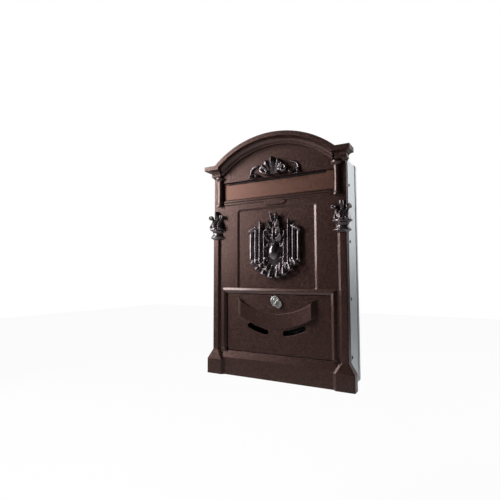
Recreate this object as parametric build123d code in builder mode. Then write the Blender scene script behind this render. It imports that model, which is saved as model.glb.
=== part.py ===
from build123d import *
import math
import os

# Wall mailbox: a die cast front with an arched cornice, riveted to a sheet steel box.
# X runs to the right, Y runs into the wall and Z runs up. The origin lies on the wall face
# of the back panel, at the centre of its four screw holes. All sizes are in millimetres.

# Overall
body_depth = 60.0            # wall face to the flat field of the front
mount_height = 190.0         # foot of the front to the centre of the wall screws
mount_width = 150.0          # screw to screw across
mount_rise = 280.0           # screw to screw upwards
mount_hole_radius = 3.0

# Front casting
half_width = 121.0           # centre line to the outer side of a column
plate = 3.5                  # thickness of the field
wall = 3.0                   # thickness of the return along the outline
rim_depth = 8.0              # how far the return reaches behind the field
springing_height = 350.0     # top of the columns, foot of the cornice
arch_radius = 166.0          # outer edge of the arched cornice
arch_rise = 58.6             # crown of the arch above the springing
cornice_depth = 18.0         # cornice in front of the field
cornice_height = 17.4        # height of the cornice moulding
fillet_height = 7.5          # flat upper band of the cornice
bead_radius = 1.7            # small bead under the cove of the cornice
bead_out = 4.8               # how far that bead stands out of the field
cornice_lip = 2.0            # lower edge of the fillet
neck_growth = 2.4            # foot of the ears' cove past the column
cove_steps = 4
edge_bevel = 1.0             # small bevel on the outer corners of columns and pedestals
ear_growth = 10.5            # end of the cornice beyond the column's side
ear_inset = 19.0             # inner end of the ear block within the column's side

# Columns, pedestals and base
column_width = 10.2          # face of the column, to its outer side
column_proud = 3.5
column_bevel = 4.0
pedestal_inset = 19.4        # inner edge of the pedestal's face within the column's side
pedestal_growth = 9.5        # outer side of the pedestal beyond the column's
pedestal_proud = 7.5
pedestal_bevel = 8.3
pedestal_height = 25.2
shoulder_height = 41.5
base_proud = 3.0
base_height = 29.5

# Sunken panel
panel_half_width = 72.5
panel_head_drop = 2.7        # head of the panel below the plaque
panel_sink = 1.6
panel_bevel = 3.6
panel_corner = 6.5

# Letter slot and its flap
slot_inset = 16.5            # end of the slot within the column's side
slot_drop = 45.0             # foot of the slot below the springing
slot_rise = 32.8
slot_rebate = 3.6            # depth of the pocket that takes the flap
slot_trough = 5.2            # deeper channel along the pocket's top, for the knuckles
slot_back = 7.8              # back of the frame around the slot, behind the field
slot_lip = 6.5               # stop lip round the way through
slot_frame = 3.6             # frame outside the pocket, at the back
flap_side_gap = 3.0          # between the end of the flap and the end of the slot
flap_foot_gap = 1.4          # flap's lower edge above the foot of the slot
flap_sheet = 1.2
flap_axis_drop = 2.8         # hinge axis below the head of the slot
flap_axis_depth = 3.3
knuckle_radius = 1.7
knuckle_length = 11.0
hinge_rod_radius = 0.9
hinge_rod_grip = 2.0         # length of rod in the casting at each end
sill_bead_radius = 1.4
sill_bead_drop = 2.4         # upper bead below the foot of the slot
sill_bead_pitch = 4.7
sill_inset = 6.5             # ends of the beads within the ends of the slot
plaque_half_width = 21.0
plaque_drop = 15.0           # foot of the plaque below the foot of the slot
plaque_rise = 10.5
plaque_proud = 1.9

# Balusters beside the slot
baluster_inset = 13.4        # axis within the column's side
baluster_foot_drop = 9.5     # foot of the baluster below the foot of the slot
baluster_head_drop = 2.0     # head of the baluster below the springing
baluster_foot_radius = 6.6
baluster_cap_radius = 8.6
baluster_shaft_radius = 5.3
baluster_waist_radius = 4.8
baluster_foot_height = 5.5
baluster_cap_height = 6.0

# Door and its frame
door_half_width = 93.4
door_bottom = 42.0
door_rise = 97.6
door_recess = 1.5
door_plate = 3.0
door_gap = 0.7
door_rib = 2.4               # width of the stiffening rib along the door's back edge
door_rib_depth = 4.5
door_pin_radius = 1.0
door_pin_length = 15.0
door_pin_grip = 6.5          # length of pin inside the door
door_pin_rise = 2.2          # pin above the door's lower edge
door_pin_back = 1.6          # pin behind the door's front face
door_lug = 9.0               # block behind the frame that holds a pin
door_stop_drop = 27.6        # tabs that the closed door rests against, below its upper edge
door_stop_length = 14.0
door_stop_reach = 5.0
frame_bead_width = 9.0
frame_bead_proud = 2.6
frame_bead_crown = 0.7       # half the flat top of the bead
smile_top_radius = 110.0
smile_drop = 32.2            # band's upper arc below the door's upper edge, at the centre line
smile_height = 23.4          # band height at the centre line
smile_bottom_radius = 118.0
smile_foot = 72.0            # half length at the door's face
smile_crest = 64.0           # half length at the top of the end slope
smile_end_proud = 6.5
smile_middle_proud = 0.8
smile_wall = 2.6             # thickness of the hollow band
view_slot_radius = 112.0
view_slot_drop = 63.9        # lowest point of the slots' arc below the door's upper edge
view_slot_width = 9.0
view_slot_start = 17.5       # centre of the inner round end, from the centre line
view_slot_end = 47.5

# Lock
lock_drop = 10.4             # lock below the door's upper edge
flange_radius = 8.5
flange_thickness = 2.0
barrel_radius = 6.0
barrel_length = 16.0
plug_radius = 4.4
plug_tail = 5.0
keyway_width = 1.4
keyway_height = 5.4
keyway_depth = 4.0
nut_across_flats = 15.0
nut_thickness = 3.0
cam_length = 27.0
cam_width = 11.0
cam_thickness = 1.8
cam_screw_radius = 1.6
cam_screw_head = 3.4
cam_screw_head_height = 2.0
cam_screw_length = 7.0
strike_width = 40.0
strike_thickness = 3.0
cover_radius = 6.3
cover_arm = 5.3              # pivot to the centre of the cover's disc
cover_lug_radius = 2.2
cover_thickness = 0.8
cover_pivot_x = 6.0
cover_pivot_rise = 0.5
cover_rivet_radius = 0.8
cover_rivet_head = 1.6
cover_rivet_head_height = 0.7

# Sheet steel box
sheet = 1.0
fold_radius = 2.5
box_growth = 0.6             # side of the box beyond the column's
box_bottom = 3.0
box_head = 2.0               # top of the box above the springing
hem = 8.0                    # flange of the back panel round the box
side_flange_depth = 12.0     # cast flange inside the box, for the rivets
side_flange = 2.6
rivet_count = 4
rivet_first = 47.0           # lowest rivet above the foot
rivet_margin = 41.0          # highest rivet below the top of the box
rivet_setback = 6.0          # rivets behind the front edge of the sheet
rivet_radius = 1.6
rivet_head_radius = 2.9
rivet_head_height = 1.2

# Applied ornaments
stud_radius = 1.5
stud_reach = 3.2             # stud behind the plate that it passes
clip_radius = 4.2
clip_thickness = 0.8
crest_back = 2.0
crest_half_width = 47.0
crest_share = 0.78           # height of the crest as a share of the panel's
crest_foot_share = 0.145     # foot of the crest above the panel's, as a share of the panel's height
crest_boss_width = 21.0
crest_boss_height = 35.0
crest_boss_proud = 9.0
crest_boss_rim = 3.0
crest_boss_share = 0.405     # middle of the boss, as a share of the crest's height
crest_stud_share = 0.2       # studs above and below the boss's middle
leaf_back = 1.4
scroll_radius = 3.2          # scroll arms of the leaf spray
scroll_foot_x = 10.0
scroll_bend_x = 29.0
scroll_bend_rise = 19.0
leaf_half_width = 48.0
leaf_gap = 0.8               # foot of the spray above the slot
leaf_rise = 32.4
leaf_stud_x = 9.0
leaf_stud_rise = 19.0
capital_inset = 6.8          # axis within the column's side
capital_drop = 63.0          # tip of the capital below the springing
capital_rise = 51.0
capital_sink = 4.0           # axis of the turned forms behind the field
capital_ring_radius = 15.2
capital_plate_radius = 16.0
capital_neck_radius = 10.3
capital_bulb_radius = 12.0
volute_x = 12.6
volute_rise = 39.0           # centre of a volute above the capital's foot
volute_radius = 4.6
volute_proud = 7.0
capital_stud_inset = 9.0
capital_stud_rise = 26.0

# Clearances
slide_gap = 0.2              # a part that moves past another
pin_gap = 0.05               # a pin that turns in its bore
seat_gap = 0.02              # a pin that stays in its bore

# Derived places, measured from the foot or from the field
foot = -mount_height
arch_height = springing_height + arch_rise
arch_centre = arch_height - arch_radius
cornice_foot = springing_height + cornice_height
cornice_inner = arch_radius - cornice_height
fillet_inner = arch_radius - fillet_height
ear_inner = half_width - ear_inset

slot_half_width = half_width - slot_inset
slot_bottom = springing_height - slot_drop
slot_top = slot_bottom + slot_rise
flap_half_width = slot_half_width - flap_side_gap
flap_bottom = slot_bottom + flap_foot_gap
flap_axis_height = slot_top - flap_axis_drop
flap_top = flap_axis_height - knuckle_radius - slide_gap / 2
flap_face = slot_rebate - slide_gap - flap_sheet
hinge_rod_length = 2 * (slot_half_width + hinge_rod_grip)
sill_half_length = slot_half_width - sill_inset
sill_bead_heights = (slot_bottom - sill_bead_drop, slot_bottom - sill_bead_drop - sill_bead_pitch)
plaque_height = slot_bottom - plaque_drop
baluster_x = half_width - baluster_inset
baluster_bottom = slot_bottom - baluster_foot_drop
baluster_top = springing_height - baluster_head_drop

door_top = door_bottom + door_rise
door_face = door_recess
door_back = door_recess + door_plate
door_axis_height = door_bottom + door_pin_rise
door_axis_depth = door_recess + door_pin_back
door_stop_height = door_top - door_stop_drop
stop_face = door_back + door_rib_depth + slide_gap
opening_half_width = door_half_width + door_gap
opening_bottom = door_bottom - door_gap
opening_top = door_top + door_gap
smile_top = door_top - smile_drop
view_slot_height = door_top - view_slot_drop
lock_height = door_top - lock_drop
cam_front = door_face + barrel_length + slide_gap

panel_bottom = opening_top + frame_bead_width / 2  # runs in under the bead of the door frame
panel_top = plaque_height - panel_head_drop
panel_tall = panel_top - panel_bottom
panel_middle = (panel_bottom + panel_top) / 2
crest_rise = panel_tall * crest_share
crest_bottom = panel_bottom + panel_tall * crest_foot_share
crest_middle = crest_bottom + crest_rise * crest_boss_share
crest_stud_rise = crest_rise * crest_stud_share
leaf_bottom = slot_top + leaf_gap
leaf_top = leaf_bottom + leaf_rise
leaf_stud_height = leaf_bottom + leaf_stud_rise

column_inner = half_width - column_width
column_foot_x = column_inner - column_bevel
column_half = (half_width - column_foot_x) / 2
pedestal_inner = half_width - pedestal_inset
pedestal_outer = half_width + pedestal_growth
capital_x = half_width - capital_inset
capital_tip = springing_height - capital_drop
capital_bottom = capital_tip - capital_rise
volute_height = capital_bottom + volute_rise
capital_stud_x = half_width - capital_stud_inset
capital_stud_height = capital_bottom + capital_stud_rise

box_half_width = half_width + box_growth
inner_half_width = box_half_width - sheet
box_top = springing_height + box_head
rivet_pitch = (box_top - rivet_margin - rivet_first) / (rivet_count - 1)
rivet_heights = [rivet_first + i * rivet_pitch for i in range(rivet_count)]
stud_places = (
    (0, crest_middle - crest_stud_rise), (0, crest_middle + crest_stud_rise),
    (-leaf_stud_x, leaf_stud_height), (leaf_stud_x, leaf_stud_height),
    (-capital_stud_x, capital_stud_height), (capital_stud_x, capital_stud_height),
)

# The face plane has X across, Y up from the foot and Z out of the field towards the viewer.
face = Plane(origin=(0, -body_depth, foot), x_dir=(1, 0, 0), z_dir=(0, -1, 0))
arch_axis = Axis((0, -body_depth, foot + arch_centre), (0, 1, 0))


def plan(height):
    """A level plane at a height above the foot: X across, Y out of the field."""
    return Plane(origin=(0, -body_depth, foot + height), x_dir=(1, 0, 0), z_dir=(0, 0, -1))


def side(x):
    """An upright plane across the front at x: X is the depth behind the field, Y the height."""
    return Plane(origin=(x, -body_depth, foot), x_dir=(0, 1, 0), z_dir=(1, 0, 0))


def block(x0, x1, h0, h1, out0, out1, mode=Mode.ADD):
    """A box between two x, two heights and two distances out of the field."""
    with BuildSketch(face.offset(out0)) as section:
        with Locations(((x0 + x1) / 2, (h0 + h1) / 2)):
            Rectangle(x1 - x0, h1 - h0)
    extrude(section.sketch, amount=out1 - out0, mode=mode)


def rod_along_x(x0, x1, height, depth, radius, mode=Mode.ADD):
    """A round bar or bore along X, at a height and a depth behind the field."""
    with BuildSketch(side(x0)) as section:
        with Locations((depth, height)):
            Circle(radius)
    extrude(section.sketch, amount=x1 - x0, mode=mode)


def rod_along_y(x, height, depth0, depth1, radius, mode=Mode.ADD):
    """A round bar or bore along Y, from one depth behind the field to a deeper one."""
    with BuildSketch(face.offset(-depth0)) as section:
        with Locations((x, height)):
            Circle(radius)
    extrude(section.sketch, amount=depth0 - depth1, mode=mode)


def half_turned(plane, points):
    """The front half of a turned form: a profile of (radius, height) points about a plane's Y axis."""
    with BuildSketch(plane) as profile:
        with BuildLine():
            Polyline([(0, points[0][1])] + points + [(0, points[-1][1])], close=True)
        make_face()
    revolve(profile.sketch, axis=Axis(plane.origin, -plane.y_dir), revolution_arc=180)


def leaf(plane, length, width, belly=0.45):
    """A cast leaf or feather: the front half of a turned spindle that lies along a plane's Y axis."""
    with BuildSketch(plane) as profile:
        with BuildLine():
            Line((0, 0), (0, length))
            Spline((0, length), (width / 2, length * belly), (0, 0))
        make_face()
    revolve(profile.sketch, axis=Axis(plane.origin, -plane.y_dir), revolution_arc=180)


def leaf_plane(x, height, lean, out):
    """A plane parallel to the face whose origin is a leaf's foot and whose Y axis leans to one side."""
    tilt = math.radians(lean)
    x_dir = (math.cos(tilt), 0, -math.sin(tilt))
    return Plane(origin=(x, -body_depth - out, foot + height), x_dir=x_dir, z_dir=(0, -1, 0))


def clip_at(x, height, depth):
    """A push-on spring clip that holds a stud from behind."""
    rod_along_y(x, height, depth, depth + clip_thickness, clip_radius)
    rod_along_y(x, height, depth, depth + clip_thickness, stud_radius + seat_gap, Mode.SUBTRACT)


def front_outline(inset, out):
    """The outline of the front, less an inset, on a plane parallel to the field."""
    across = half_width - inset
    radius = arch_radius - 1 - inset
    shoulder = cornice_foot - 1 - inset
    spring_x = math.sqrt(radius**2 - (shoulder - arch_centre) ** 2)
    with BuildSketch(face.offset(out)) as outline:
        with BuildLine():
            Polyline(
                (-spring_x, shoulder), (-across, shoulder), (-across, inset),
                (across, inset), (across, shoulder), (spring_x, shoulder),
            )
            ThreePointArc((spring_x, shoulder), (0, arch_centre + radius), (-spring_x, shoulder))
        make_face()
    return outline.sketch


# Cornice of the arch: a flat fillet, a cove, a bead and a quirk, turned about the arch centre.
with BuildPart() as cornice:
    profile_plane = Plane(
        origin=(0, -body_depth, foot + arch_centre), x_dir=(0, 0, 1), z_dir=(1, 0, 0)
    )
    bead_start = (cornice_inner, bead_out - 2 * bead_radius)
    bead_end = (cornice_inner + 2 * bead_radius, bead_out)
    fillet_edge = (fillet_inner, cornice_depth - cornice_lip)
    cove_middle = (
        fillet_edge[0] - (fillet_edge[0] - bead_end[0]) * 0.22,
        bead_end[1] + (fillet_edge[1] - bead_end[1]) * 0.42,
    )
    with BuildSketch(profile_plane):
        with BuildLine():
            ThreePointArc(bead_start, (bead_start[0] + 0.5, bead_end[1] - 0.5), bead_end)
            ThreePointArc(bead_end, cove_middle, fillet_edge)
            Polyline(
                fillet_edge,
                (fillet_inner, cornice_depth),
                (arch_radius, cornice_depth),
                (arch_radius, -rim_depth),
                (arch_radius - wall, -rim_depth),
                (arch_radius - wall, -plate),
                (cornice_inner, -plate),
                bead_start,
            )
        make_face()
    revolve(axis=arch_axis, revolution_arc=60)
    mirror(about=Plane.YZ)
    # the arch ends on the inner faces of the ears and on the tops of their upper bands
    with BuildSketch(face.offset(-2 * rim_depth)):
        with Locations((0, springing_height)):
            Rectangle(2 * ear_inner, 2 * arch_radius, align=(Align.CENTER, Align.MIN))
        with Locations((0, cornice_foot - fillet_height)):
            Rectangle(2 * half_width, 2 * arch_radius, align=(Align.CENTER, Align.MIN))
    extrude(amount=2 * (rim_depth + cornice_depth), mode=Mode.INTERSECT)


def ear_section(sign, height, grow, out):
    """A level section of an ear: how far it grows past the column's side and out of the field."""
    inner = column_foot_x - (column_foot_x - ear_inner) * grow / ear_growth
    outer = half_width + grow
    with BuildSketch(plan(height)) as section:
        with Locations((sign * (inner + outer) / 2, (out - rim_depth) / 2)):
            Rectangle(outer - inner, out + rim_depth)
    return section.sketch


def ear(sign):
    """An ear of the cornice: upper band, cove, bead and neck as lofted level sections."""
    band_foot = cornice_foot - fillet_height
    cove_foot = springing_height + 2 * bead_radius + 0.6
    band = [
        ear_section(sign, band_foot, ear_growth, cornice_depth),
        ear_section(sign, cornice_foot, ear_growth, cornice_depth),
    ]
    loft(band, ruled=True)
    cove = []
    for i in range(cove_steps + 1):
        turn = math.pi / 2 * i / cove_steps
        share = 1 - math.cos(turn)
        height = cove_foot + (band_foot - cove_foot) * math.sin(turn)
        grow = neck_growth + (ear_growth - cornice_lip / 2 - neck_growth) * share
        out = bead_out + (cornice_depth - cornice_lip / 2 - bead_out) * share
        cove.append(ear_section(sign, height, grow, out))
    loft(cove, ruled=True)
    bead = [
        ear_section(sign, springing_height + 0.6, neck_growth + 0.8, bead_out + 0.8),
        ear_section(sign, cove_foot, neck_growth + 0.8, bead_out + 0.8),
    ]
    loft(bead, ruled=True)
    neck = [
        ear_section(sign, springing_height - 3.0, 0, 0.4),
        ear_section(sign, springing_height + 0.6, neck_growth, bead_out),
    ]
    loft(neck, ruled=True)


def upright_section(sign, height, inner, bevel, outer, proud):
    """A level section of a column or pedestal: a bevelled inner flank, a face and an outer side."""
    with BuildSketch(plan(height)) as section:
        with BuildLine():
            Polyline(
                (sign * (inner - bevel), -plate),
                (sign * (inner - bevel), 0),
                (sign * inner, proud),
                (sign * (outer - edge_bevel), proud),
                (sign * outer, proud - edge_bevel),
                (sign * outer, -rim_depth),
                (sign * (half_width - wall), -rim_depth),
                (sign * (half_width - wall), -plate),
                close=True,
            )
        make_face()
    return section.sketch


def column_and_pedestal(sign):
    """A half octagonal column on a pedestal with a sloped shoulder."""
    column = (column_inner, column_bevel, half_width, column_proud)
    pedestal = (pedestal_inner, pedestal_bevel, pedestal_outer, pedestal_proud)
    for low, low_form, high, high_form in (
        (0, pedestal, pedestal_height, pedestal),
        (pedestal_height, pedestal, shoulder_height, column),
        (shoulder_height, column, capital_bottom, column),
    ):
        sections = [upright_section(sign, low, *low_form), upright_section(sign, high, *high_form)]
        loft(sections, ruled=True)


baluster_profile = [
    (baluster_foot_radius, baluster_bottom),
    (baluster_foot_radius, baluster_bottom + 0.5 * baluster_foot_height),
    (baluster_waist_radius, baluster_bottom + 0.8 * baluster_foot_height),
    (baluster_shaft_radius, baluster_bottom + baluster_foot_height + 1.5),
    (baluster_waist_radius, (baluster_bottom + baluster_top) / 2),
    (baluster_shaft_radius, baluster_top - baluster_cap_height - 1.5),
    (baluster_waist_radius, baluster_top - baluster_cap_height),
    (baluster_cap_radius - 1.0, baluster_top - 0.6 * baluster_cap_height),
    (baluster_cap_radius, baluster_top - 0.4 * baluster_cap_height),
    (baluster_cap_radius, baluster_top),
]

# Front: one casting with the field, arch, columns, pedestals, base, panel and door frame.
with BuildPart() as front_casting:
    extrude(front_outline(0, -rim_depth), amount=rim_depth)
    # return along the outline, and a rib that closes the top of the steel box
    extrude(front_outline(wall, -rim_depth), amount=rim_depth - plate, mode=Mode.SUBTRACT)
    block(-half_width + wall / 2, half_width - wall / 2, box_top - wall, box_top, -rim_depth, -plate)
    # flanges inside the steel box, for the rivets
    for sign in (-1, 1):
        flange_out = sign * (inner_half_width - pin_gap)
        flange_in = sign * (inner_half_width - pin_gap - side_flange)
        block(
            min(flange_in, flange_out), max(flange_in, flange_out),
            box_bottom + sheet + fold_radius, box_top - sheet - fold_radius,
            -rim_depth - side_flange_depth, -plate,
        )
        for height in rivet_heights:
            rod_along_x(
                -half_width if sign < 0 else half_width - 2 * wall,
                -half_width + 2 * wall if sign < 0 else half_width,
                height, rim_depth + rivet_setback, rivet_radius + seat_gap, Mode.SUBTRACT,
            )
    # cornice, ears, columns and pedestals
    add(cornice.part)
    for sign in (-1, 1):
        ear(sign)
        column_and_pedestal(sign)
    # base between the pedestals, with a sloped ledge
    with BuildSketch(side(-pedestal_inner)):
        with BuildLine():
            Polyline(
                (plate, 0), (-base_proud, 0), (-base_proud, base_height),
                (0, opening_bottom - 1), (plate, opening_bottom - 1), close=True,
            )
        make_face()
    extrude(amount=2 * pedestal_inner)
    # sunken panel with bevelled sides
    with BuildSketch(face):
        with Locations((0, panel_middle)):
            RectangleRounded(2 * panel_half_width, panel_tall, panel_corner)
    with BuildSketch(face.offset(-panel_sink)):
        with Locations((0, panel_middle)):
            RectangleRounded(
                2 * (panel_half_width - panel_bevel), panel_tall - 2 * panel_bevel,
                panel_corner - panel_bevel,
            )
    loft(ruled=True, mode=Mode.SUBTRACT)
    # frame, pocket and way through of the letter slot
    frame_half = slot_half_width + slot_frame
    block(-frame_half, frame_half, slot_bottom - slot_frame, slot_top + slot_frame, -slot_back, -plate)
    block(-slot_half_width, slot_half_width, slot_bottom, slot_top, -slot_rebate, 1, Mode.SUBTRACT)
    trough_foot = flap_axis_height - knuckle_radius - slide_gap
    block(-slot_half_width, slot_half_width, trough_foot, slot_top, -slot_trough, 0, Mode.SUBTRACT)
    block(
        -slot_half_width + slot_lip, slot_half_width - slot_lip,
        slot_bottom + slot_lip, slot_top - slot_lip, -slot_back, 0, Mode.SUBTRACT,
    )
    bore_half = hinge_rod_length / 2 + slide_gap
    rod_along_x(
        -bore_half, bore_half, flap_axis_height, flap_axis_depth, hinge_rod_radius + seat_gap, Mode.SUBTRACT
    )
    # sill mouldings with a small arched plaque
    for height in sill_bead_heights:
        rod_along_x(-sill_half_length, sill_half_length, height, -0.2, sill_bead_radius)
    with BuildSketch(face):
        with BuildLine():
            corner_height = plaque_height + plaque_rise * 0.4
            ThreePointArc(
                (-plaque_half_width, corner_height), (0, plaque_height + plaque_rise),
                (plaque_half_width, corner_height),
            )
            Polyline(
                (plaque_half_width, corner_height), (plaque_half_width * 0.7, plaque_height),
                (-plaque_half_width * 0.7, plaque_height), (-plaque_half_width, corner_height),
            )
        make_face()
    extrude(amount=plaque_proud)
    for sign in (-1, 1):
        half_turned(leaf_plane(sign * baluster_x, 0, 0, 0), baluster_profile)
    # door opening with a half round bead on three sides
    block(
        -opening_half_width, opening_half_width, opening_bottom, opening_top,
        -2 * rim_depth, rim_depth, Mode.SUBTRACT,
    )
    bead_x = opening_half_width + frame_bead_width / 2 + 0.4
    bead_top = opening_top + frame_bead_width / 2 + 0.4
    with BuildLine(face) as bead_path:
        Polyline(
            (-bead_x, opening_bottom), (-bead_x, bead_top), (bead_x, bead_top), (bead_x, opening_bottom)
        )
    bead_plane = Plane(
        origin=(-bead_x, -body_depth, foot + opening_bottom), x_dir=(-1, 0, 0), z_dir=(0, 0, 1)
    )
    with BuildSketch(bead_plane):
        with BuildLine():
            half_bead = frame_bead_width / 2
            Polyline(
                (-half_bead, -0.5), (-half_bead, 0), (-frame_bead_crown, frame_bead_proud),
                (frame_bead_crown, frame_bead_proud), (half_bead, 0), (half_bead, -0.5), close=True,
            )
        make_face()
    sweep(path=bead_path.line, transition=Transition.RIGHT)
    for sign in (-1, 1):
        foot_x = sign * bead_x - half_bead
        block(
            foot_x, foot_x + frame_bead_width, opening_bottom, opening_bottom + 3.5,
            0, frame_bead_proud + 0.8,
        )
    # lugs for the door pins, tabs behind the closed door and a strike for the lock's cam
    for sign in (-1, 1):
        low_x = min(sign * opening_half_width, sign * (opening_half_width + door_lug))
        block(
            low_x, low_x + door_lug, door_axis_height - door_lug / 2, door_axis_height + door_lug / 2,
            -door_axis_depth - door_lug / 2, -plate,
        )
        pin_end = opening_half_width + door_pin_length - door_pin_grip
        bore_x = min(sign * opening_half_width, sign * pin_end)
        rod_along_x(
            bore_x, bore_x + pin_end - opening_half_width,
            door_axis_height, door_axis_depth, door_pin_radius + seat_gap, Mode.SUBTRACT,
        )
        stop_low = door_stop_height - door_stop_length / 2
        stop_high = door_stop_height + door_stop_length / 2
        foot_x = min(sign * opening_half_width, sign * (opening_half_width + door_stop_reach))
        tab_x = min(sign * (door_half_width - door_stop_reach), sign * (opening_half_width + door_stop_reach))
        tab_wide = door_stop_reach * 2 + door_gap
        block(foot_x, foot_x + door_stop_reach, stop_low, stop_high, -stop_face - wall, -plate)
        block(tab_x, tab_x + tab_wide, stop_low, stop_high, -stop_face - wall, -stop_face)
    block(
        -strike_width / 2, strike_width / 2, opening_top, opening_top + strike_thickness,
        -cam_front + slide_gap, -plate,
    )
    # holes for the ornaments' studs
    for x, height in stud_places:
        rod_along_y(x, height, -1, plate + 1, stud_radius + seat_gap, Mode.SUBTRACT)
front_casting.part.label = "front_casting"


# Letter flap: a plate with a curled knuckle at each end of its upper edge.
with BuildPart() as letter_flap:
    block(-flap_half_width, flap_half_width, flap_bottom, flap_top, -flap_face - flap_sheet, -flap_face)
    for x in (-flap_half_width, flap_half_width - knuckle_length):
        block(x, x + knuckle_length, flap_top, flap_axis_height, -flap_face - flap_sheet, -flap_face)
        rod_along_x(x, x + knuckle_length, flap_axis_height, flap_axis_depth, knuckle_radius)
    rod_along_x(
        -flap_half_width, flap_half_width, flap_axis_height, flap_axis_depth,
        hinge_rod_radius + pin_gap, Mode.SUBTRACT,
    )
letter_flap.part.label = "letter_flap"

with BuildPart() as flap_hinge_rod:
    rod_along_x(
        -hinge_rod_length / 2, hinge_rod_length / 2, flap_axis_height, flap_axis_depth, hinge_rod_radius
    )
flap_hinge_rod.part.label = "flap_hinge_rod"


def smile_prism(inset, out, amount, mode):
    """The front view of the raised band, drawn as two arcs with upright ends, as a prism."""
    foot_x = smile_foot - inset
    top_y = smile_top - inset
    low_y = smile_top - smile_height + inset
    top_end = top_y + smile_top_radius - math.sqrt(smile_top_radius**2 - foot_x**2)
    low_end = low_y + smile_bottom_radius - math.sqrt(smile_bottom_radius**2 - foot_x**2)
    with BuildSketch(face.offset(out)) as front_view:
        with BuildLine():
            ThreePointArc((-foot_x, top_end), (0, top_y), (foot_x, top_end))
            Line((foot_x, top_end), (foot_x, low_end))
            ThreePointArc((foot_x, low_end), (0, low_y), (-foot_x, low_end))
            Line((-foot_x, low_end), (-foot_x, top_end))
        make_face()
    extrude(front_view.sketch, amount=amount, mode=mode)


def smile_form(inset, back, out):
    """The raised band: its front view crossed with a plan whose front is hollowed to the middle."""
    smile_prism(inset, -door_face - door_plate, 4 * smile_end_proud, Mode.ADD)
    with BuildSketch(plan(smile_top - 2 * smile_height)) as plan_view:
        with BuildLine():
            ThreePointArc(
                (-smile_crest + inset, out + smile_end_proud),
                (0, out + smile_middle_proud),
                (smile_crest - inset, out + smile_end_proud),
            )
            Polyline(
                (smile_crest - inset, out + smile_end_proud), (smile_foot - inset, out),
                (smile_foot - inset, back), (-smile_foot + inset, back),
                (-smile_foot + inset, out), (-smile_crest + inset, out + smile_end_proud),
            )
        make_face()
    extrude(plan_view.sketch, amount=-4 * smile_height, mode=Mode.INTERSECT)


with BuildPart() as smile_band:
    smile_form(0, -door_face - 1, -door_face)

with BuildPart() as smile_hollow:
    smile_form(smile_wall, -door_back - 1, -door_face - smile_wall)


def bent_slot(sign):
    """A view slot through the door: a strip of the ring about the slots' centre, with round ends."""
    centre = view_slot_height + view_slot_radius

    def on_ring(x, offset):
        angle = math.asin(x / view_slot_radius)
        reach = view_slot_radius + offset
        return (sign * reach * math.sin(angle), centre - reach * math.cos(angle))

    half = view_slot_width / 2
    middle = (view_slot_start + view_slot_end) / 2
    with BuildSketch(face.offset(-door_back - door_rib_depth)) as slot:
        with BuildLine():
            for arc in (
                ((view_slot_start, half), (middle, half), (view_slot_end, half)),
                ((view_slot_end, half), (view_slot_end + half, 0), (view_slot_end, -half)),
                ((view_slot_end, -half), (middle, -half), (view_slot_start, -half)),
                ((view_slot_start, -half), (view_slot_start - half, 0), (view_slot_start, half)),
            ):
                ThreePointArc([on_ring(x, offset) for x, offset in arc])
        make_face()
    extrude(slot.sketch, amount=2 * smile_height, mode=Mode.SUBTRACT)


# Door: a plate with a rib along its back edge, a hollow raised band and two view slots.
with BuildPart() as door:
    block(-door_half_width, door_half_width, door_bottom, door_top, -door_back, -door_face)
    block(-door_half_width, door_half_width, door_bottom, door_top, -door_back - door_rib_depth, -door_back)
    block(
        -door_half_width + door_rib, door_half_width - door_rib, door_bottom + door_rib, door_top - door_rib,
        -door_back - door_rib_depth, -door_back, Mode.SUBTRACT,
    )
    add(smile_band.part)
    add(smile_hollow.part, mode=Mode.SUBTRACT)
    # view slots, bent like the band above them
    for sign in (-1, 1):
        bent_slot(sign)
    rod_along_y(0, lock_height, 0, door_back + 1, barrel_radius + pin_gap, Mode.SUBTRACT)
    for x in (-door_half_width, door_half_width - door_pin_grip - slide_gap):
        rod_along_x(
            x, x + door_pin_grip + slide_gap, door_axis_height, door_axis_depth,
            door_pin_radius + pin_gap, Mode.SUBTRACT,
        )
door.part.label = "door"

with BuildPart() as door_pins:
    inner_end = door_half_width - door_pin_grip
    for x in (-inner_end - door_pin_length, inner_end):
        rod_along_x(x, x + door_pin_length, door_axis_height, door_axis_depth, door_pin_radius)
door_pins.part.label = "door_pins"

# Lock: a flanged barrel held in the door by a nut, with a turning plug that carries the cam.
flange_face = door_face - flange_thickness
with BuildPart() as lock_housing:
    rod_along_y(0, lock_height, flange_face, door_face, flange_radius)
    chamfer(lock_housing.edges().filter_by(GeomType.CIRCLE).group_by(Axis.Y)[0], 0.6)
    rod_along_y(0, lock_height, door_face, door_face + barrel_length, barrel_radius)
    rod_along_y(0, lock_height, flange_face, door_face + barrel_length, plug_radius + pin_gap, Mode.SUBTRACT)
    rod_along_y(
        cover_pivot_x, lock_height + cover_pivot_rise, flange_face, flange_face + flange_thickness * 0.75,
        cover_rivet_radius + seat_gap, Mode.SUBTRACT,
    )
lock_housing.part.label = "lock_housing"

with BuildPart() as lock_nut:
    with BuildSketch(face.offset(-door_back - nut_thickness)):
        with Locations((0, lock_height)):
            RegularPolygon(nut_across_flats / 2, 6, major_radius=False)
            Circle(barrel_radius + pin_gap, mode=Mode.SUBTRACT)
    extrude(amount=nut_thickness - seat_gap)
lock_nut.part.label = "lock_nut"

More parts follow.
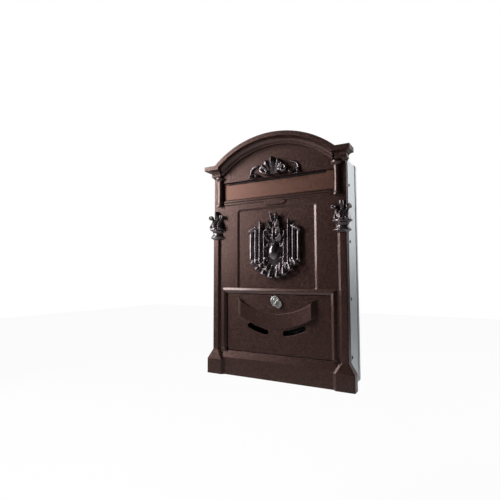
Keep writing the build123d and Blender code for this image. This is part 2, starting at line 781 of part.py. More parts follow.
with BuildPart() as lock_plug:
    rod_along_y(0, lock_height, flange_face, cam_front, plug_radius)
    block(
        -plug_tail / 2, plug_tail / 2, lock_height - plug_tail / 2, lock_height + plug_tail / 2,
        -cam_front - cam_thickness, -cam_front,
    )
    block(
        -keyway_width / 2, keyway_width / 2, lock_height - keyway_height / 2,
        lock_height + keyway_height / 2, -flange_face - keyway_depth, -flange_face, Mode.SUBTRACT,
    )
    rod_along_y(
        0, lock_height, cam_front + cam_thickness - cam_screw_length, cam_front + cam_thickness,
        cam_screw_radius + seat_gap, Mode.SUBTRACT,
    )
lock_plug.part.label = "lock_plug"

with BuildPart() as lock_cam:
    with BuildSketch(face.offset(-cam_front - cam_thickness)):
        with Locations((-(cam_length - cam_width) / 2, lock_height)):
            SlotOverall(cam_length, cam_width)
        with Locations((0, lock_height)):
            Rectangle(plug_tail + 2 * seat_gap, plug_tail + 2 * seat_gap, mode=Mode.SUBTRACT)
    extrude(amount=cam_thickness)
lock_cam.part.label = "lock_cam"

with BuildPart() as cam_screw:
    screw_seat = cam_front + cam_thickness + seat_gap
    rod_along_y(0, lock_height, screw_seat, screw_seat + cam_screw_head_height, cam_screw_head)
    rod_along_y(0, lock_height, screw_seat - cam_screw_length + slide_gap, screw_seat, cam_screw_radius)
cam_screw.part.label = "cam_screw"

# Keyhole cover: a small disc with a lug, free to swing on a rivet in the lock's flange.
cover_back = flange_face - slide_gap
pivot_height = lock_height + cover_pivot_rise
with BuildPart() as keyhole_cover:
    with BuildSketch(face.offset(-cover_back)):
        with BuildLine():
            lug_left = cover_pivot_x - cover_lug_radius
            lug_right = cover_pivot_x + cover_lug_radius
            ThreePointArc(
                (lug_left, pivot_height), (cover_pivot_x, pivot_height + cover_lug_radius),
                (lug_right, pivot_height),
            )
            Polyline(
                (lug_right, pivot_height), (lug_right, pivot_height - cover_arm),
                (lug_left, pivot_height - cover_arm), (lug_left, pivot_height),
            )
        make_face()
        with Locations((cover_pivot_x, pivot_height - cover_arm)):
            Circle(cover_radius)
        with Locations((cover_pivot_x, pivot_height)):
            Circle(cover_rivet_radius + pin_gap, mode=Mode.SUBTRACT)
    extrude(amount=cover_thickness)
keyhole_cover.part.label = "keyhole_cover"

with BuildPart() as cover_rivet:
    rivet_seat = cover_back - cover_thickness - slide_gap / 2
    rod_along_y(
        cover_pivot_x, pivot_height, rivet_seat, flange_face + flange_thickness * 0.7, cover_rivet_radius
    )
    head_face = rivet_seat - cover_rivet_head_height
    rod_along_y(cover_pivot_x, pivot_height, head_face, rivet_seat, cover_rivet_head)
cover_rivet.part.label = "cover_rivet"

# Steel box: a folded wrapper, and a back panel whose hem laps round it.
box_middle = (box_bottom + box_top) / 2
box_tall = box_top - box_bottom
with BuildPart() as box_shell:
    with BuildSketch(face.offset(-body_depth + sheet + seat_gap)):
        with Locations((0, box_middle)):
            RectangleRounded(2 * box_half_width, box_tall, fold_radius)
            RectangleRounded(
                2 * inner_half_width, box_tall - 2 * sheet, fold_radius - sheet, mode=Mode.SUBTRACT
            )
    extrude(amount=body_depth - sheet - rim_depth - 2 * seat_gap)
    for sign in (-1, 1):
        for height in rivet_heights:
            low_x = min(sign * (inner_half_width - sheet), sign * (box_half_width + sheet))
            rod_along_x(
                low_x, low_x + 3 * sheet, height, rim_depth + rivet_setback,
                rivet_radius + seat_gap, Mode.SUBTRACT,
            )
box_shell.part.label = "box_shell"

with BuildPart() as back_panel:
    hem_inner = box_half_width + seat_gap
    with BuildSketch(face.offset(-body_depth)):
        with Locations((0, box_middle)):
            RectangleRounded(
                2 * (hem_inner + sheet), box_tall + 2 * (seat_gap + sheet), fold_radius + sheet + seat_gap
            )
    extrude(amount=hem)
    with BuildSketch(face.offset(-body_depth + sheet)):
        with Locations((0, box_middle)):
            RectangleRounded(2 * hem_inner, box_tall + 2 * seat_gap, fold_radius + seat_gap)
    extrude(amount=hem, mode=Mode.SUBTRACT)
    for x in (-mount_width / 2, mount_width / 2):
        for height in (mount_height - mount_rise / 2, mount_height + mount_rise / 2):
            hole_ends = (body_depth - 2 * sheet, body_depth + sheet)
            rod_along_y(x, height, *hole_ends, mount_hole_radius, Mode.SUBTRACT)
back_panel.part.label = "back_panel"


def rivet_row(sign):
    """The rivets of one side: a domed head on the sheet and an upset head inside the flange."""
    grip_in = inner_half_width - pin_gap - side_flange - seat_gap
    grip_out = box_half_width + seat_gap
    for height in rivet_heights:
        centre = (sign * grip_in, -body_depth + rim_depth + rivet_setback, foot + height)
        rivet_plane = Plane(origin=centre, x_dir=(0, 0, 1), z_dir=(0, sign, 0))
        with BuildSketch(rivet_plane) as profile:
            grip = grip_out - grip_in
            with BuildLine():
                Polyline(
                    (rivet_head_radius, grip), (rivet_radius, grip), (rivet_radius, 0),
                    (rivet_radius * 1.5, 0), (rivet_radius * 1.5, -rivet_head_height * 0.7),
                    (0, -rivet_head_height * 0.7), (0, grip + rivet_head_height),
                )
                dome = (rivet_head_radius * 0.66, grip + rivet_head_height * 0.66)
                ThreePointArc((0, grip + rivet_head_height), dome, (rivet_head_radius, grip))
            make_face()
        revolve(profile.sketch, axis=Axis(rivet_plane.origin, rivet_plane.y_dir), revolution_arc=360)


with BuildPart() as rivets_left:
    rivet_row(-1)
rivets_left.part.label = "rivets_left"

with BuildPart() as rivets_right:
    rivet_row(1)
rivets_right.part.label = "rivets_right"


def stud(x, height, out):
    """A cast stud behind an ornament, from its back to past the plate."""
    rod_along_y(x, height, -out, plate + stud_reach, stud_radius)


# Crest: a winged shield of hanging feathers, an oval boss and a leafy top, on one backing.
# Its places are shares of the half width across and of the height upwards.
feathers = (
    # place across, lower end, upper end
    (0.92, 0.24, 0.73), (0.74, 0.20, 0.77), (0.56, 0.135, 0.83), (0.38, 0.11, 0.74),
)
crest_leaves = (
    # place across, height of the foot, lean in degrees, length, width
    (0.07, 0.0, -6, 0.216, 0.17), (0.30, 0.036, -14, 0.198, 0.18), (0.49, 0.077, -20, 0.198, 0.19),
    (0.67, 0.117, -28, 0.18, 0.19), (0.84, 0.19, -38, 0.162, 0.18),
    (0.068, 0.667, 5.5, 0.338, 0.19), (0.213, 0.649, 24, 0.266, 0.17), (0.149, 0.595, 50, 0.216, 0.16),
    (0.064, 0.559, 12, 0.234, 0.19),
)
crest_outline = (
    (0, 0.946), (0.15, 0.982), (0.24, 0.829), (0.46, 0.856), (0.62, 0.757), (0.97, 0.739),
    (0.97, 0.297), (0.84, 0.189), (0.46, 0.063), (0, 0.009),
)
feather_width = crest_half_width * 0.19
knob_width = crest_half_width * 0.2
with BuildPart() as crest:
    with BuildSketch(face.offset(-panel_sink)):
        with BuildLine():
            places = [(x * crest_half_width, crest_bottom + y * crest_rise) for x, y in crest_outline]
            Polyline(places, close=True)
        make_face()
        mirror(about=Plane.YZ)
    extrude(amount=crest_back)
    out = crest_back - panel_sink - 0.4
    for sign in (-1, 1):
        for x, low, high in feathers:
            feather_plane = leaf_plane(sign * x * crest_half_width, crest_bottom + low * crest_rise, 0, out)
            leaf(feather_plane, (high - low) * crest_rise, feather_width, 0.6)
        for x, height, lean, length, width in crest_leaves:
            foot_x = sign * x * crest_half_width
            foot_height = crest_bottom + height * crest_rise
            leaf_foot = leaf_plane(foot_x, foot_height, sign * lean, out)
            leaf(leaf_foot, length * crest_rise, width * crest_half_width)
        knob_plane = leaf_plane(sign * 0.9 * crest_half_width, crest_bottom + 0.685 * crest_rise, 0, out)
        leaf(knob_plane, knob_width, knob_width, 0.5)
    with BuildSketch(face.offset(-panel_sink)):
        with Locations((0, crest_middle)):
            Ellipse(crest_boss_width / 2, crest_boss_height / 2)
    extrude(amount=crest_boss_proud)
    boss_rim = crest.edges().filter_by(GeomType.ELLIPSE).group_by(Axis.Y)[0]
    fillet(boss_rim, crest_boss_rim)
    for x, height in stud_places[:2]:
        stud(x, height, 0)
crest.part.label = "crest"

# Leaf spray under the arch: a tall middle leaf with scrolled leaves to both sides.
leaf_spray = (
    # x of the foot, rise of the foot, lean, length, width
    (0.0, 2.0, 0.0, 30.5, 11.0), (4.0, 4.0, 24.0, 25.5, 10.0), (8.0, 3.0, 52.0, 24.0, 9.5),
)
with BuildPart() as pediment_leaf:
    with BuildSketch(face):
        with BuildLine():
            back_half = leaf_half_width * 0.9
            ThreePointArc((back_half, leaf_bottom), (0, leaf_top - 6), (-back_half, leaf_bottom))
            Line((-back_half, leaf_bottom), (back_half, leaf_bottom))
        make_face()
    extrude(amount=leaf_back)
    for x, rise, lean, length, width in leaf_spray:
        for sign in (-1, 1) if x else (1,):
            leaf(leaf_plane(sign * x, leaf_bottom + rise, sign * lean, leaf_back - 0.3), length, width)
    # scroll arms that rise beside the middle leaf and curl over outwards
    for sign in (-1, 1):
        with BuildLine(face) as arm:
            ThreePointArc(
                (sign * scroll_foot_x, leaf_bottom + scroll_radius),
                (sign * scroll_bend_x, leaf_bottom + scroll_bend_rise),
                (sign * (leaf_half_width - 4), leaf_bottom + scroll_radius),
            )
        with BuildSketch(Plane(origin=arm.line @ 0, z_dir=arm.line % 0)):
            Circle(scroll_radius)
        sweep(path=arm.line)
        arm_end = leaf_plane(sign * (leaf_half_width - 4), leaf_bottom, sign * 10, 0)
        leaf(arm_end, leaf_rise * 0.28, scroll_radius * 2.5, 0.5)
        side_leaf = leaf_plane(sign * 20, leaf_bottom + 1, sign * 8, leaf_back - 0.3)
        leaf(side_leaf, leaf_rise * 0.55, scroll_radius * 2.65)
    block(
        -2 * leaf_half_width, 2 * leaf_half_width, leaf_bottom - 10, leaf_top + 10,
        -10, 0, Mode.SUBTRACT,
    )
    block(
        -2 * leaf_half_width, 2 * leaf_half_width, leaf_bottom - 10, leaf_bottom,
        -1, cornice_depth, Mode.SUBTRACT,
    )
    for x, height in stud_places[2:4]:
        stud(x, height, 0)
pediment_leaf.part.label = "pediment_leaf"

capital_shares = (
    # radius, height as a share of the capital's
    (column_half + 1.5, 0), (capital_ring_radius, 0.07), (capital_neck_radius + 1.5, 0.147),
    (capital_neck_radius, 0.206), (capital_neck_radius + 1.0, 0.284), (capital_plate_radius, 0.343),
    (capital_plate_radius, 0.382), (capital_bulb_radius, 0.441), (capital_bulb_radius, 0.53),
    (capital_bulb_radius * 0.7, 0.667),
)
capital_profile = [
    (radius, capital_bottom + seat_gap + share * capital_rise) for radius, share in capital_shares
]


def capital(sign):
    """A capital: two rings, a bulb, a pair of volutes and a middle leaf, all half round."""
    x = sign * capital_x
    half_turned(leaf_plane(x, 0, 0, -capital_sink), capital_profile)
    leaf_foot = capital_bottom + 0.37 * capital_rise
    leaf(leaf_plane(x, leaf_foot, 0, 1.0), capital_tip - leaf_foot, 13.0)
    for turn in (-1, 1):
        centre = x + turn * volute_x
        leaf(leaf_plane(x + turn * 3.0, leaf_foot + 1.0, turn * 30.0, 0), 0.47 * capital_rise, 9.0)
        rim_inner = centre + volute_radius * 0.55
        with BuildSketch(plan(volute_height)) as volute:
            with BuildLine():
                Polyline((centre, volute_proud * 0.7), (centre, 0), (centre + volute_radius, 0))
                ThreePointArc(
                    (centre + volute_radius, 0), (centre + volute_radius * 0.95, volute_proud * 0.7),
                    (rim_inner, volute_proud),
                )
                Line((rim_inner, volute_proud), (rim_inner, volute_proud * 0.7))
                Line((rim_inner, volute_proud * 0.7), (centre, volute_proud * 0.7))
            make_face()
        volute_axis = Axis((centre, -body_depth, foot + volute_height), (0, 1, 0))
        revolve(volute.sketch, axis=volute_axis, revolution_arc=360)
    block(
        x - 2 * capital_plate_radius, x + 2 * capital_plate_radius, capital_bottom - 5, capital_tip + 5,
        -2 * capital_plate_radius, 0, Mode.SUBTRACT,
    )
    stud(sign * capital_stud_x, capital_stud_height, 0)


with BuildPart() as capital_left:
    capital(-1)
capital_left.part.label = "capital_left"

with BuildPart() as capital_right:
    capital(1)
capital_right.part.label = "capital_right"

with BuildPart() as ornament_clips:
    for x, height in stud_places:
        clip_at(x, height, plate + seat_gap)
ornament_clips.part.label = "ornament_clips"

os.makedirs("parts", exist_ok=True)
for piece in (
    front_casting, crest, pediment_leaf, capital_left, capital_right, ornament_clips,
    letter_flap, flap_hinge_rod, door, door_pins, lock_housing, lock_nut, lock_plug, lock_cam,
    cam_screw, keyhole_cover, cover_rivet, box_shell, back_panel, rivets_left, rivets_right,
):
    export_step(piece.part, f"parts/{piece.part.label}.step")
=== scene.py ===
import bpy
import math
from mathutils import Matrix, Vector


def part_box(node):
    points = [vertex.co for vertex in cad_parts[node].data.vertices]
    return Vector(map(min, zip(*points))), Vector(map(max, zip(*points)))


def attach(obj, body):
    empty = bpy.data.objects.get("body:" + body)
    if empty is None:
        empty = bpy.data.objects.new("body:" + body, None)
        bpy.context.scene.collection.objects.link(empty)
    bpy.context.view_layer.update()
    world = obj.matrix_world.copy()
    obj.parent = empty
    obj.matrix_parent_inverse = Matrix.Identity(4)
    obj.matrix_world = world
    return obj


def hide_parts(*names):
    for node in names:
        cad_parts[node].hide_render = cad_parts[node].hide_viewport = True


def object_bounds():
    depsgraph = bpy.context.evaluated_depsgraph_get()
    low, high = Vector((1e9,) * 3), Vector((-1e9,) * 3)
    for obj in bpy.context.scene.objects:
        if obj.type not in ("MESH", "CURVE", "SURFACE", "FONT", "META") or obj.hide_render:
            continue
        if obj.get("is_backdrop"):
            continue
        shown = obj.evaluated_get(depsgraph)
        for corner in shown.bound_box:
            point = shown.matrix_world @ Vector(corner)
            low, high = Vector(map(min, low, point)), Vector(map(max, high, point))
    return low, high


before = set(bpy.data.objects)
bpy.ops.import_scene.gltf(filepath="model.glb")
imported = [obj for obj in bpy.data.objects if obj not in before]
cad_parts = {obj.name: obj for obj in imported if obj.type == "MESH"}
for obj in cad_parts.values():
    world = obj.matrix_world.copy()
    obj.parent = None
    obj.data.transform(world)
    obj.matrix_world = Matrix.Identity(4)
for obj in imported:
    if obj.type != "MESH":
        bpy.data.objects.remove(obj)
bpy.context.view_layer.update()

# Front casting. The real one is die cast in one piece and stove painted dark brown, with a
# hammered texture in the paint. The solid of the frame has its shape, so here it gets the
# paint, with small dimples and darker specks, and with edges softened by its thickness.


def new_material(name, colour, roughness, metallic):
    material = bpy.data.materials.new(name)
    material.use_nodes = True
    shader = material.node_tree.nodes["Principled BSDF"]
    shader.inputs["Base Color"].default_value = (*colour, 1)
    shader.inputs["Roughness"].default_value = roughness
    shader.inputs["Metallic"].default_value = metallic
    return material, material.node_tree.nodes, material.node_tree.links, shader


def grain(nodes, links, kind, scale, detail=2.0):
    place = nodes.new("ShaderNodeTexCoord")
    texture = nodes.new(kind)
    texture.inputs["Scale"].default_value = scale
    if "Detail" in texture.inputs:
        texture.inputs["Detail"].default_value = detail
    links.new(place.outputs["Object"], texture.inputs["Vector"])
    return texture


def tone_ramp(nodes, links, texture, output, low, high, low_at=0.3, high_at=0.7):
    ramp = nodes.new("ShaderNodeValToRGB")
    ramp.color_ramp.elements[0].position = low_at
    ramp.color_ramp.elements[0].color = (*low, 1)
    ramp.color_ramp.elements[1].position = high_at
    ramp.color_ramp.elements[1].color = (*high, 1)
    links.new(texture.outputs[output], ramp.inputs["Fac"])
    return ramp


def hammered(name, dark, light, roughness, coat, bump_height):
    """Hammer finish paint: dimples a few millimetres across and fine specks of tone."""
    material, nodes, links, shader = new_material(name, dark, roughness, 0.6)
    speck = grain(nodes, links, "ShaderNodeTexNoise", 420.0, 3.0)
    ramp = tone_ramp(nodes, links, speck, "Fac", dark, light, 0.36, 0.68)
    links.new(ramp.outputs["Color"], shader.inputs["Base Color"])
    rough = tone_ramp(nodes, links, speck, "Fac", (roughness - 0.08,) * 3, (roughness + 0.1,) * 3)
    links.new(rough.outputs["Color"], shader.inputs["Roughness"])
    dimple = grain(nodes, links, "ShaderNodeTexVoronoi", 330.0)
    dimple.feature = "SMOOTH_F1"
    edge = nodes.new("ShaderNodeBevel")
    edge.samples = 4
    edge.inputs["Radius"].default_value = 0.0013
    bump = nodes.new("ShaderNodeBump")
    links.new(edge.outputs["Normal"], bump.inputs["Normal"])
    bump.inputs["Strength"].default_value = 0.45
    bump.inputs["Distance"].default_value = bump_height
    links.new(dimple.outputs["Distance"], bump.inputs["Height"])
    links.new(bump.outputs["Normal"], shader.inputs["Normal"])
    shader.inputs["Coat Weight"].default_value = coat
    shader.inputs["Coat Roughness"].default_value = 0.18
    return material


def paint(thing, material):
    thing.data.materials.clear()
    thing.data.materials.append(material)


casting_paint = hammered(
    "hammered brown paint", (0.050, 0.0225, 0.0180), (0.082, 0.0375, 0.0300), 0.37, 0.45, 0.0004
)
paint(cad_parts["front_casting"], casting_paint)

# Door. A die casting of its own, hung at its foot on two pins behind the bead frame. It comes
# out of the same paint bath as the front, so it takes the front's paint.
paint(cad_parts["door"], casting_paint)

# Letter flap. A plain plate over the letter slot, hung on a rod along its upper edge. Being
# flat and thin it takes a smoother and slightly warmer coat of the same brown. Its brown is
# painted about twice as light as the front's, and this lighter tone is painted sheen for the light the flap
# catches.
flap_paint_with_painted_sheen = hammered("smooth brown paint with painted sheen", (0.110, 0.047, 0.0330), (0.130, 0.058, 0.041), 0.44, 0.1, 0.0001)
paint(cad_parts["letter_flap"], flap_paint_with_painted_sheen)

# Crest. A shield of wing feathers and leaves, die cast in one piece with two studs behind it
# and painted in a darker and glossier coat. A stock design of its kind: each form is drawn out
# of a ring, copied to its places, and all are fused into one casting with a flat back.
ornament_paint, nodes, links, shader = new_material(
    "glossy dark paint", (0.15, 0.12, 0.13), 0.25, 0.85
)
pooling = grain(nodes, links, "ShaderNodeTexNoise", 90.0)
ramp = tone_ramp(nodes, links, pooling, "Fac", (0.108, 0.084, 0.090), (0.185, 0.151, 0.160))
links.new(ramp.outputs["Color"], shader.inputs["Base Color"])
shader.inputs["Coat Weight"].default_value = 0.6
shader.inputs["Coat Roughness"].default_value = 0.22


def drawn(name, corners, width, height, steps):
    """A form drawn upwards from a ring in steps of (rise, outwards, growth) and closed."""
    bpy.ops.object.select_all(action="DESELECT")
    bpy.ops.mesh.primitive_circle_add(vertices=corners, radius=0.5, fill_type="NGON")
    form = bpy.context.object
    form.name = name
    bpy.ops.object.mode_set(mode="EDIT")
    bpy.ops.mesh.select_all(action="SELECT")
    bpy.ops.transform.resize(value=(width, 2 * height, 1), center_override=(0, 0, 0))
    up, out = 0.0, 0.0
    for rise, outwards, growth in steps:
        bpy.ops.mesh.extrude_region_move(TRANSFORM_OT_translate={"value": (0, -outwards, rise)})
        up, out = up + rise, out - outwards
        bpy.ops.transform.resize(value=(growth, growth, 1), center_override=(0, out, up))
    bpy.ops.mesh.select_all(action="SELECT")
    bpy.ops.mesh.normals_make_consistent(inside=False)
    bpy.ops.object.mode_set(mode="OBJECT")
    return form


def coil(name, ring, reach, steps, turn, shrink):
    """A scroll drawn round the Y axis: a ring carried round it, and drawn in at every step."""
    bpy.ops.object.select_all(action="DESELECT")
    bpy.ops.mesh.primitive_circle_add(
        vertices=8, radius=ring, fill_type="NGON", location=(reach, 0, 0)
    )
    form = bpy.context.object
    form.name = name
    bpy.ops.object.transform_apply(location=True, rotation=True, scale=True)
    bpy.ops.object.mode_set(mode="EDIT")
    bpy.ops.mesh.select_all(action="SELECT")
    for _ in range(steps):
        bpy.ops.mesh.extrude_region_move(TRANSFORM_OT_translate={"value": (0, 0, 0)})
        bpy.ops.transform.rotate(
            value=math.radians(turn), orient_axis="Y", center_override=(0, 0, 0)
        )
        bpy.ops.transform.resize(value=(shrink, shrink, shrink), center_override=(0, 0, 0))
    bpy.ops.mesh.select_all(action="SELECT")
    bpy.ops.mesh.normals_make_consistent(inside=False)
    bpy.ops.object.mode_set(mode="OBJECT")
    return form


def placed(master, at, size, lean=0.0):
    """A copy of a form with its own mesh: moved, sized, and leant sideways."""
    copy = master.copy()
    copy.data = master.data.copy()
    bpy.context.collection.objects.link(copy)
    copy.location = at
    copy.scale = size
    copy.rotation_euler = (0, math.radians(lean), 0)
    return copy


def cast(name, forms, back, grain_size):
    """The forms fused into one casting, softened as paint softens it, and cut flat at the back."""
    bpy.ops.object.select_all(action="DESELECT")
    for form in forms:
        form.select_set(True)
    bpy.context.view_layer.objects.active = forms[0]
    bpy.ops.object.join()
    casting = bpy.context.object
    casting.name = name
    bpy.ops.object.transform_apply(location=True, rotation=True, scale=True)
    bpy.ops.object.mode_set(mode="EDIT")
    bpy.ops.mesh.select_all(action="SELECT")
    bpy.ops.mesh.normals_make_consistent(inside=False)
    bpy.ops.object.mode_set(mode="OBJECT")
    fuse = casting.modifiers.new("fuse", "REMESH")
    fuse.mode = "VOXEL"
    fuse.voxel_size = grain_size
    bpy.ops.object.modifier_apply(modifier="fuse")
    soften = casting.modifiers.new("soften", "SMOOTH")
    soften.factor = 0.5
    soften.iterations = 10
    bpy.ops.object.modifier_apply(modifier="soften")
    bpy.ops.object.mode_set(mode="EDIT")
    bpy.ops.mesh.select_all(action="SELECT")
    bpy.ops.mesh.bisect(plane_co=(0, back, 0), plane_no=(0, 1, 0), use_fill=True, clear_outer=True)
    bpy.ops.object.mode_set(mode="OBJECT")
    bpy.ops.object.shade_smooth_by_angle(angle=math.radians(60))
    return casting


stud_radius = 0.0015


def studs(casting, places, back, length):
    """The studs behind a casting, joined to it."""
    for x, z in places:
        bpy.ops.object.select_all(action="DESELECT")
        bpy.ops.mesh.primitive_cylinder_add(
            vertices=24, radius=stud_radius, depth=length, location=(x, back + length / 2, z),
            rotation=(math.radians(90), 0, 0),
        )
        stud = bpy.context.object
        bpy.ops.object.transform_apply(location=True, rotation=True, scale=True)
        bevel = stud.modifiers.new("round end", "BEVEL")
        bevel.width = stud_radius * 0.25
        bevel.segments = 2
        bpy.ops.object.modifier_apply(modifier="round end")
        casting.select_set(True)
        bpy.context.view_layer.objects.active = casting
        bpy.ops.object.join()


crest_low, crest_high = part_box("crest")
crest_half = (crest_high[0] - crest_low[0]) / 2
crest_rise = crest_high[2] - crest_low[2]
crest_back = -0.0584


def crest_at(across, up, out=0.0):
    return (across * crest_half, crest_back - out, crest_low[2] + up * crest_rise)


# the forms that the crest and the other ornaments are built from, one unit high
feather = drawn("feather", 8, 0.45, 0.35, (
    (0.03, 0.02, 1.6), (0.04, 0.05, 1.3), (0.08, 0.05, 1.1), (0.2, 0.0, 1.0),
    (0.35, 0.0, 1.0), (0.2, 0.0, 0.95), (0.1, 0.0, 0.85),
))
lobe = drawn("lobe", 8, 0.42, 0.42, (
    (0.05, 0.0, 1.6), (0.1, -0.05, 1.35), (0.2, -0.12, 1.05), (0.3, -0.14, 0.85),
    (0.35, -0.1, 0.6),
))
blade = drawn("blade", 4, 0.6, 0.4, (
    (0.15, 0.0, 1.4), (0.2, 0.08, 1.15), (0.25, 0.14, 0.85), (0.2, 0.2, 0.7),
    (0.14, 0.22, 0.5), (0.06, 0.1, 0.5),
))
curl = coil("curl", 0.36, 1.0, 14, -24, 0.90)

crest_forms = []
bpy.ops.object.select_all(action="DESELECT")
bpy.ops.mesh.primitive_circle_add(
    vertices=40, radius=1, fill_type="NGON", rotation=(math.radians(90), 0, 0),
    location=crest_at(0, 0.44, -0.001),
)
backing = bpy.context.object
backing.name = "crest_backing"
bpy.ops.transform.resize(value=(crest_half * 0.88, 1, crest_rise * 0.34))
bpy.ops.object.transform_apply(location=True, rotation=True, scale=True)
bpy.ops.object.mode_set(mode="EDIT")
bpy.ops.mesh.select_all(action="SELECT")
bpy.ops.mesh.extrude_region_move(TRANSFORM_OT_translate={"value": (0, -0.003, 0)})
bpy.ops.object.mode_set(mode="OBJECT")
crest_forms.append(backing)

for side in (-1, 1):
    # hanging feathers, the outer ones lowest at their heads
    for across, foot, head, wide, high in (
        (0.90, 0.235, 0.72, 0.0080, 0.0075), (0.715, 0.19, 0.76, 0.0076, 0.0085),
        (0.54, 0.13, 0.80, 0.0074, 0.0092), (0.38, 0.16, 0.72, 0.0068, 0.0085),
    ):
        length = (head - foot) * crest_rise
        crest_forms.append(placed(feather, crest_at(side * across, foot), (wide, high, length)))
    # the rolled shoulder of the wing, its knob, and the short leaves that stand on it
    crest_forms.append(placed(lobe, crest_at(side * 1.0, 0.71, 0.002), (0.0085, 0.009, 0.026), -side * 66))
    crest_forms.append(placed(lobe, crest_at(side * 0.93, 0.70, 0.001), (0.0085, 0.009, 0.0085), 0))
    crest_forms.append(placed(blade, crest_at(side * 0.52, 0.76, 0.001), (0.0090, 0.008, 0.0150), side * 6))
    crest_forms.append(placed(blade, crest_at(side * 0.70, 0.74, 0.001), (0.0070, 0.007, 0.0080), side * 16))
    # lobed tips along the lower edge, curled out of the field
    for across, up, lean, long, wide in (
        (0.15, 0.0, -6, 0.21, 0.0155), (0.42, 0.045, -16, 0.20, 0.0155),
        (0.67, 0.115, -26, 0.18, 0.0145), (0.86, 0.205, -36, 0.15, 0.0120),
    ):
        crest_forms.append(
            placed(lobe, crest_at(side * across, up, 0.001), (wide, 0.0130, long * crest_rise), side * lean)
        )
    for across, up, lean in ((0.27, 0.115, -12), (0.51, 0.16, -22), (0.72, 0.225, -30)):
        crest_forms.append(
            placed(lobe, crest_at(side * across, up, 0.003), (0.0085, 0.0095, 0.014), side * lean)
        )
    # leaves of the head, in four tiers
    for across, up, lean, long, wide, out in (
        (0.05, 0.85, 10, 0.15, 0.0095, 0.002), (0.08, 0.75, 20, 0.14, 0.0105, 0.003),
        (0.10, 0.65, 26, 0.14, 0.0115, 0.004), (0.12, 0.55, 34, 0.14, 0.0120, 0.005),
    ):
        crest_forms.append(
            placed(blade, crest_at(side * across, up, out), (wide, 0.011, long * crest_rise), side * lean)
        )
    # scrolls to both sides of the boss
    crest_forms.append(placed(curl, crest_at(side * 0.27, 0.51, 0.006), (side * 0.0046, 0.007, 0.0046)))
    crest_forms.append(placed(curl, crest_at(side * 0.27, 0.29, 0.006), (side * 0.0046, 0.007, -0.0046)))

# the stem of the head, and the boss, an egg on a raised collar
crest_forms.append(placed(lobe, crest_at(0, 0.52, 0.002), (0.0120, 0.011, 0.42 * crest_rise)))
bpy.ops.object.select_all(action="DESELECT")
bpy.ops.mesh.primitive_uv_sphere_add(segments=32, ring_count=20, radius=1, location=crest_at(0, 0.40, 0.002))
egg = bpy.context.object
bpy.ops.transform.resize(value=(0.0098, 0.0115, 0.0155))
crest_forms.append(egg)

crest = cast("crest_casting", crest_forms, crest_back, 0.00055)
studs(crest, ((0, -0.00175), (0, 0.0427)), crest_back, 0.0051)
paint(crest, ornament_paint)
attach(crest, "root")
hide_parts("crest")

# Leaf spray under the arch. A shell of five leaves between two scrolls, with a tendril on
# each side, cast and painted as the crest is, on two studs of its own.
spray_low, spray_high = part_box("pediment_leaf")
spray_half = (spray_high[0] - spray_low[0]) / 2
spray_rise = spray_high[2] - spray_low[2]
field_face = -0.060
field_stud_length = 0.0067


def spray_at(across, up, out=0.0):
    return (across * spray_half, field_face - out, spray_low[2] + up * spray_rise)


bpy.ops.object.select_all(action="DESELECT")
bpy.ops.mesh.primitive_torus_add(
    major_segments=28, minor_segments=12, major_radius=0.60, minor_radius=0.40,
    rotation=(math.radians(90), 0, 0),
)
roll = bpy.context.object
roll.name = "roll"
bpy.ops.object.transform_apply(location=True, rotation=True, scale=True)
tendril = coil("tendril", 0.17, 1.0, 13, -14, 0.97)
spray_forms = [placed(lobe, spray_at(0, 0.97, 0.004), (0.0135, 0.014, spray_rise * -0.88))]
for side in (-1, 1):
    for across, up, lean, long, wide, out in (
        (0.07, 0.12, 22, 0.76, 0.0125, 0.003), (0.12, 0.18, 44, 0.60, 0.0115, 0.003),
    ):
        foot_x, foot_y, foot_z = spray_at(side * across, up, out)
        reach, turn = long * spray_rise, math.radians(side * lean)
        tip = (foot_x + reach * math.sin(turn), foot_y, foot_z + reach * math.cos(turn))
        spray_forms.append(placed(lobe, tip, (wide, 0.012, -reach), side * lean))
    spray_forms.append(placed(roll, spray_at(side * 0.36, 0.36, 0.004), (0.0088, 0.011, 0.0080), side * -20))
    spray_forms.append(placed(lobe, spray_at(side * 0.36, 0.20, 0.005), (0.0052, 0.010, 0.0075)))
    spray_forms.append(placed(lobe, spray_at(side * 0.60, 0.04, 0.002), (0.0090, 0.011, 0.0110), side * 50))
    spray_forms.append(
        placed(tendril, spray_at(side * 0.66, 0.22, 0.001), (side * 0.0135, 0.016, 0.0150), side * -100)
    )
    spray_forms.append(placed(lobe, spray_at(side * 0.93, 0.02, 0.001), (0.0075, 0.009, 0.0110), side * -30))
    spray_forms.append(placed(lobe, spray_at(side * 0.19, 0.02, 0.006), (0.0080, 0.009, 0.0090), side * 10))
spray = cast("leaf_spray", spray_forms, field_face, 0.0005)
bpy.ops.object.mode_set(mode="EDIT")
bpy.ops.mesh.select_all(action="SELECT")
bpy.ops.mesh.bisect(
    plane_co=(0, 0, spray_low[2]), plane_no=(0, 0, -1), use_fill=True, clear_outer=True
)
bpy.ops.object.mode_set(mode="OBJECT")
studs(spray, ((-0.009, 0.1676), (0.009, 0.1676)), field_face, field_stud_length)
paint(spray, ornament_paint)
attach(spray, "root")
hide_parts("pediment_leaf")

